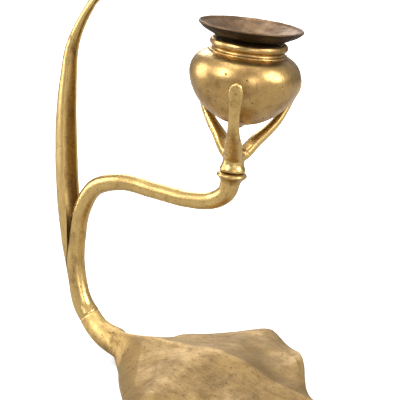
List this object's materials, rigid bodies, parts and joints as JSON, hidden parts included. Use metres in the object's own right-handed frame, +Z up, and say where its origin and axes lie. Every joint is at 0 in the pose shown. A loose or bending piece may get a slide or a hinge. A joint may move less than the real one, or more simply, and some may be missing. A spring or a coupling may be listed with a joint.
{
  "type": "candle holder",
  "caption": "Leaf-footed bronze candlestick with a bent stem, a tall channelled blade, and an urn cup held in a claw below a lift-out drip pan and candle socket.",
  "frame": {"origin": "under the middle of the whole part's box, on the surface it stands on", "axes": "+Z up, +X from the leaf's stalk towards its tip, and Y = 0 is the midrib of the leaf and the plane of the stem, arm and blade"},
  "size_m": [0.161, 0.11, 0.1954],
  "materials": {
    "leaf": "brown gilt patina, streaked and speckled",
    "stem": "worn gilding, satin, with dark specks",
    "blade": "worn gilding, satin",
    "claw": "worn gilding, satin",
    "cup": "worn gilding, soft shine, with small pits",
    "socket": "brown patina",
    "pan": "mottled brown patina, worn to a lighter rim",
    "fixing": "plain"
  },
  "bodies": {
    "candlestick": {"leaf_base": "leaf", "stem_dowel": "fixing", "stem_arm": "stem", "cobra_blade": "blade", "claw_stud": "fixing", "claw_holder": "claw", "candle_cup": "cup"},
    "bobeche": {"candle_socket": "socket", "drip_pan": "pan"}
  },
  "joints": [
    {"name": "bobeche_lift", "type": "slide", "parent": "candlestick", "child": "bobeche", "axis": [0.1201, 0.0398, 0.992], "range_m": [0, 0.035]}
  ]
}
